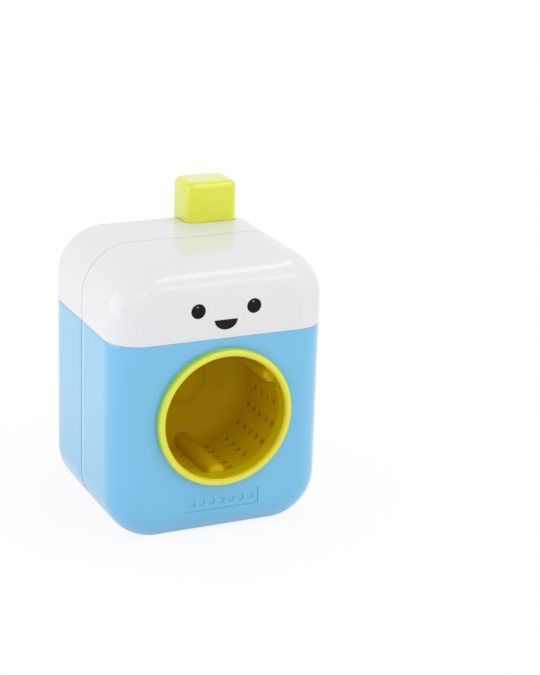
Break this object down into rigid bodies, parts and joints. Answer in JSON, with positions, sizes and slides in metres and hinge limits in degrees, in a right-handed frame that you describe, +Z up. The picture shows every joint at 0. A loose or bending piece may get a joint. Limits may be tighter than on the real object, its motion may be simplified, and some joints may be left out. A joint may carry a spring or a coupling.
{
  "type": "toy washing machine",
  "caption": "Rounded toy washing machine with an open perforated drum behind a round door ring; pressing the square knob on top spins the drum through a rack and gears.",
  "frame": {"origin": "on the floor, under the middle of the housing's width and depth", "axes": "+Z up, the door ring faces -Y, +X to the right seen from the front"},
  "size_m": [0.125, 0.1205, 0.181],
  "materials": {
    "blue_housing": "smooth glossy moulding",
    "white_housing": "smooth glossy moulding",
    "lime_trim": "smooth glossy moulding",
    "grey_moulding": "plain inner moulding",
    "ivory_gear": "natural acetal",
    "bright_steel": "plated"
  },
  "bodies": {
    "housing": {"front_shell": "blue_housing", "rear_shell": "blue_housing", "front_cap": "white_housing", "rear_cap": "white_housing", "bezel_ring": "lime_trim", "chassis": "grey_moulding", "gearbox_cover": "grey_moulding", "drum_bush": "ivory_gear", "thrust_washer": "ivory_gear", "idler_axle": "bright_steel", "return_spring": "bright_steel", "chassis_screws": "bright_steel", "cover_screws": "bright_steel", "housing_screws": "bright_steel"},
    "drum_body": {"drum": "lime_trim", "drum_shaft": "bright_steel", "drum_gear": "ivory_gear"},
    "cluster_body": {"cluster_gear": "ivory_gear"},
    "knob_body": {"push_knob": "lime_trim", "plunger": "grey_moulding", "plunger_screw": "bright_steel"}
  },
  "joints": [
    {"name": "drum_spin", "type": "hinge", "parent": "housing", "child": "drum_body", "pos_m": [0, 0.01, 0.071], "axis": [0, -1, 0], "range_deg": [0, 327]},
    {"name": "cluster_spin", "type": "hinge", "parent": "housing", "child": "cluster_body", "pos_m": [0.0135, 0.02, 0.10193], "axis": [0, 1, 0], "range_deg": [0, 114.6]},
    {"name": "knob_slide", "type": "slide", "parent": "housing", "child": "knob_body", "axis": [0, 0, -1], "range_m": [0, 0.015], "stiffness_N_per_m": 200, "springref_m": -0.008, "deforming": ["return_spring"]}
  ],
  "couplings": [
    {"joint": "knob_slide", "follows": "drum_spin", "m_per_rad": 0.002625},
    {"joint": "cluster_spin", "follows": "drum_spin", "ratio": 0.35}
  ]
}
